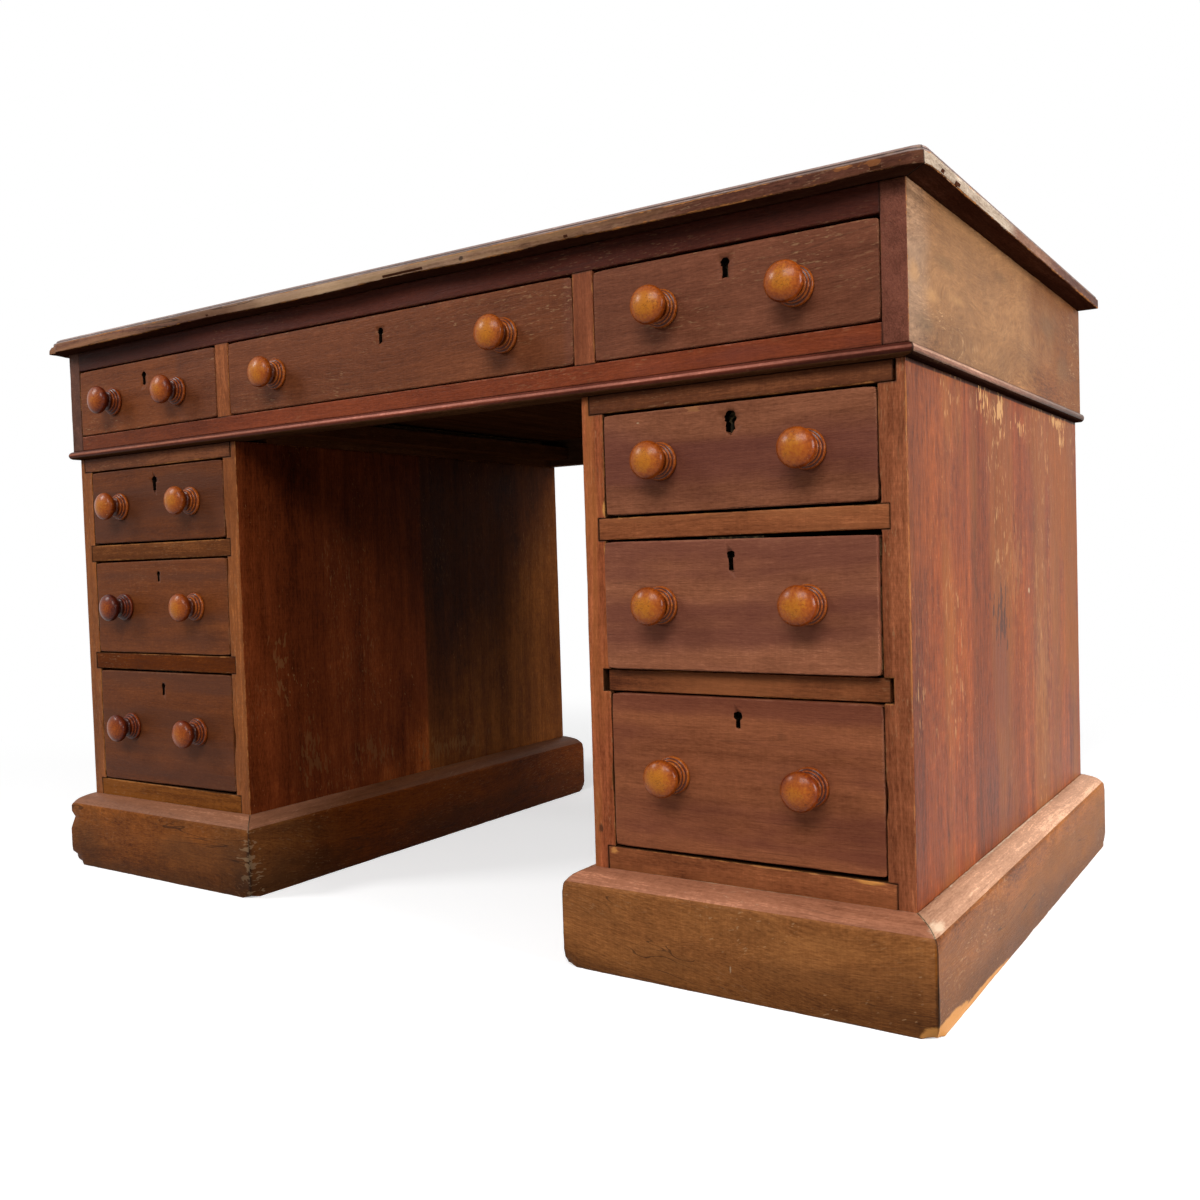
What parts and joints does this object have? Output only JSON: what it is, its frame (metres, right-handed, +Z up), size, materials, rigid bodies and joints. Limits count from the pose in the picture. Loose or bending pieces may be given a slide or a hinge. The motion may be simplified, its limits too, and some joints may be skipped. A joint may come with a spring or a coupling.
{
  "type": "pedestal desk",
  "caption": "Old mahogany pedestal desk with a kneehole, moulded top, sliding locked drawers with turned wooden knobs, and mitred plinths.",
  "frame": {"origin": "on the floor, at the middle of the desk's overall width and depth, knobs included", "axes": "+X to the right as seen from the front, +Y to the back, +Z up; the drawer fronts face -Y"},
  "size_m": [1.29, 0.777, 0.76],
  "materials": {
    "top_wood": "worn, dull wax",
    "frieze_wood": "old satin polish",
    "pedestal_wood": "old satin polish",
    "rail_wood": "worn satin polish",
    "plinth_wood": "scuffed, dull",
    "drawer_wood": "old satin polish",
    "lining_wood": "bare, aged",
    "knob_wood": "glossy french polish",
    "brass": "tarnished"
  },
  "bodies": {
    "case": {"desk_top": "top_wood", "frieze_panels": "frieze_wood", "frieze_front_frame": "frieze_wood", "frieze_runners": "lining_wood", "frieze_bead": "frieze_wood", "left_pedestal_sides": "pedestal_wood", "left_pedestal_rails": "rail_wood", "left_pedestal_boards": "lining_wood", "left_pedestal_runners": "lining_wood", "left_plinth": "plinth_wood", "right_pedestal_sides": "pedestal_wood", "right_pedestal_rails": "rail_wood", "right_pedestal_boards": "lining_wood", "right_pedestal_runners": "lining_wood", "right_plinth": "plinth_wood"},
    "left_frieze_drawer": {"left_frieze_drawer_front": "drawer_wood", "left_frieze_drawer_box": "lining_wood", "left_frieze_drawer_knobs": "knob_wood", "left_frieze_drawer_lock": "brass"},
    "left_frieze_lock_bolt": {"left_frieze_drawer_bolt": "brass"},
    "centre_frieze_drawer": {"centre_frieze_drawer_front": "drawer_wood", "centre_frieze_drawer_box": "lining_wood", "centre_frieze_drawer_knobs": "knob_wood", "centre_frieze_drawer_lock": "brass"},
    "centre_frieze_lock_bolt": {"centre_frieze_drawer_bolt": "brass"},
    "right_frieze_drawer": {"right_frieze_drawer_front": "drawer_wood", "right_frieze_drawer_box": "lining_wood", "right_frieze_drawer_knobs": "knob_wood", "right_frieze_drawer_lock": "brass"},
    "right_frieze_lock_bolt": {"right_frieze_drawer_bolt": "brass"},
    "left_upper_drawer": {"left_upper_drawer_front": "drawer_wood", "left_upper_drawer_box": "lining_wood", "left_upper_drawer_knobs": "knob_wood", "left_upper_drawer_lock": "brass"},
    "left_upper_lock_bolt": {"left_upper_drawer_bolt": "brass"},
    "left_middle_drawer": {"left_middle_drawer_front": "drawer_wood", "left_middle_drawer_box": "lining_wood", "left_middle_drawer_knobs": "knob_wood", "left_middle_drawer_lock": "brass"},
    "left_middle_lock_bolt": {"left_middle_drawer_bolt": "brass"},
    "left_lower_drawer": {"left_lower_drawer_front": "drawer_wood", "left_lower_drawer_box": "lining_wood", "left_lower_drawer_knobs": "knob_wood", "left_lower_drawer_lock": "brass"},
    "left_lower_lock_bolt": {"left_lower_drawer_bolt": "brass"},
    "right_upper_drawer": {"right_upper_drawer_front": "drawer_wood", "right_upper_drawer_box": "lining_wood", "right_upper_drawer_knobs": "knob_wood", "right_upper_drawer_lock": "brass"},
    "right_upper_lock_bolt": {"right_upper_drawer_bolt": "brass"},
    "right_middle_drawer": {"right_middle_drawer_front": "drawer_wood", "right_middle_drawer_box": "lining_wood", "right_middle_drawer_knobs": "knob_wood", "right_middle_drawer_lock": "brass"},
    "right_middle_lock_bolt": {"right_middle_drawer_bolt": "brass"},
    "right_lower_drawer": {"right_lower_drawer_front": "drawer_wood", "right_lower_drawer_box": "lining_wood", "right_lower_drawer_knobs": "knob_wood", "right_lower_drawer_lock": "brass"},
    "right_lower_lock_bolt": {"right_lower_drawer_bolt": "brass"}
  },
  "joints": [
    {"name": "left_frieze_drawer_slide", "type": "slide", "parent": "case", "child": "left_frieze_drawer", "axis": [0, -1, 0], "range_m": [0, 0.38]},
    {"name": "centre_frieze_drawer_slide", "type": "slide", "parent": "case", "child": "centre_frieze_drawer", "axis": [0, -1, 0], "range_m": [0, 0.38]},
    {"name": "right_frieze_drawer_slide", "type": "slide", "parent": "case", "child": "right_frieze_drawer", "axis": [0, -1, 0], "range_m": [0, 0.38]},
    {"name": "left_upper_drawer_slide", "type": "slide", "parent": "case", "child": "left_upper_drawer", "axis": [0, -1, 0], "range_m": [0, 0.42]},
    {"name": "left_middle_drawer_slide", "type": "slide", "parent": "case", "child": "left_middle_drawer", "axis": [0, -1, 0], "range_m": [0, 0.42]},
    {"name": "left_lower_drawer_slide", "type": "slide", "parent": "case", "child": "left_lower_drawer", "axis": [0, -1, 0], "range_m": [0, 0.42]},
    {"name": "right_upper_drawer_slide", "type": "slide", "parent": "case", "child": "right_upper_drawer", "axis": [0, -1, 0], "range_m": [0, 0.42]},
    {"name": "right_middle_drawer_slide", "type": "slide", "parent": "case", "child": "right_middle_drawer", "axis": [0, -1, 0], "range_m": [-0.006, 0.414]},
    {"name": "right_lower_drawer_slide", "type": "slide", "parent": "case", "child": "right_lower_drawer", "axis": [0, -1, 0], "range_m": [0, 0.42]},
    {"name": "left_frieze_bolt_throw", "type": "slide", "parent": "left_frieze_drawer", "child": "left_frieze_lock_bolt", "axis": [0, 0, 1], "range_m": [0, 0.006]},
    {"name": "centre_frieze_bolt_throw", "type": "slide", "parent": "centre_frieze_drawer", "child": "centre_frieze_lock_bolt", "axis": [0, 0, 1], "range_m": [0, 0.006]},
    {"name": "right_frieze_bolt_throw", "type": "slide", "parent": "right_frieze_drawer", "child": "right_frieze_lock_bolt", "axis": [0, 0, 1], "range_m": [0, 0.006]},
    {"name": "left_upper_bolt_throw", "type": "slide", "parent": "left_upper_drawer", "child": "left_upper_lock_bolt", "axis": [0, 0, 1], "range_m": [0, 0.006]},
    {"name": "left_middle_bolt_throw", "type": "slide", "parent": "left_middle_drawer", "child": "left_middle_lock_bolt", "axis": [0, 0, 1], "range_m": [0, 0.006]},
    {"name": "left_lower_bolt_throw", "type": "slide", "parent": "left_lower_drawer", "child": "left_lower_lock_bolt", "axis": [0, 0, 1], "range_m": [0, 0.006]},
    {"name": "right_upper_bolt_throw", "type": "slide", "parent": "right_upper_drawer", "child": "right_upper_lock_bolt", "axis": [0, 0, 1], "range_m": [0, 0.006]},
    {"name": "right_middle_bolt_throw", "type": "slide", "parent": "right_middle_drawer", "child": "right_middle_lock_bolt", "axis": [0, 0, 1], "range_m": [0, 0.006]},
    {"name": "right_lower_bolt_throw", "type": "slide", "parent": "right_lower_drawer", "child": "right_lower_lock_bolt", "axis": [0, 0, 1], "range_m": [0, 0.006]}
  ]
}
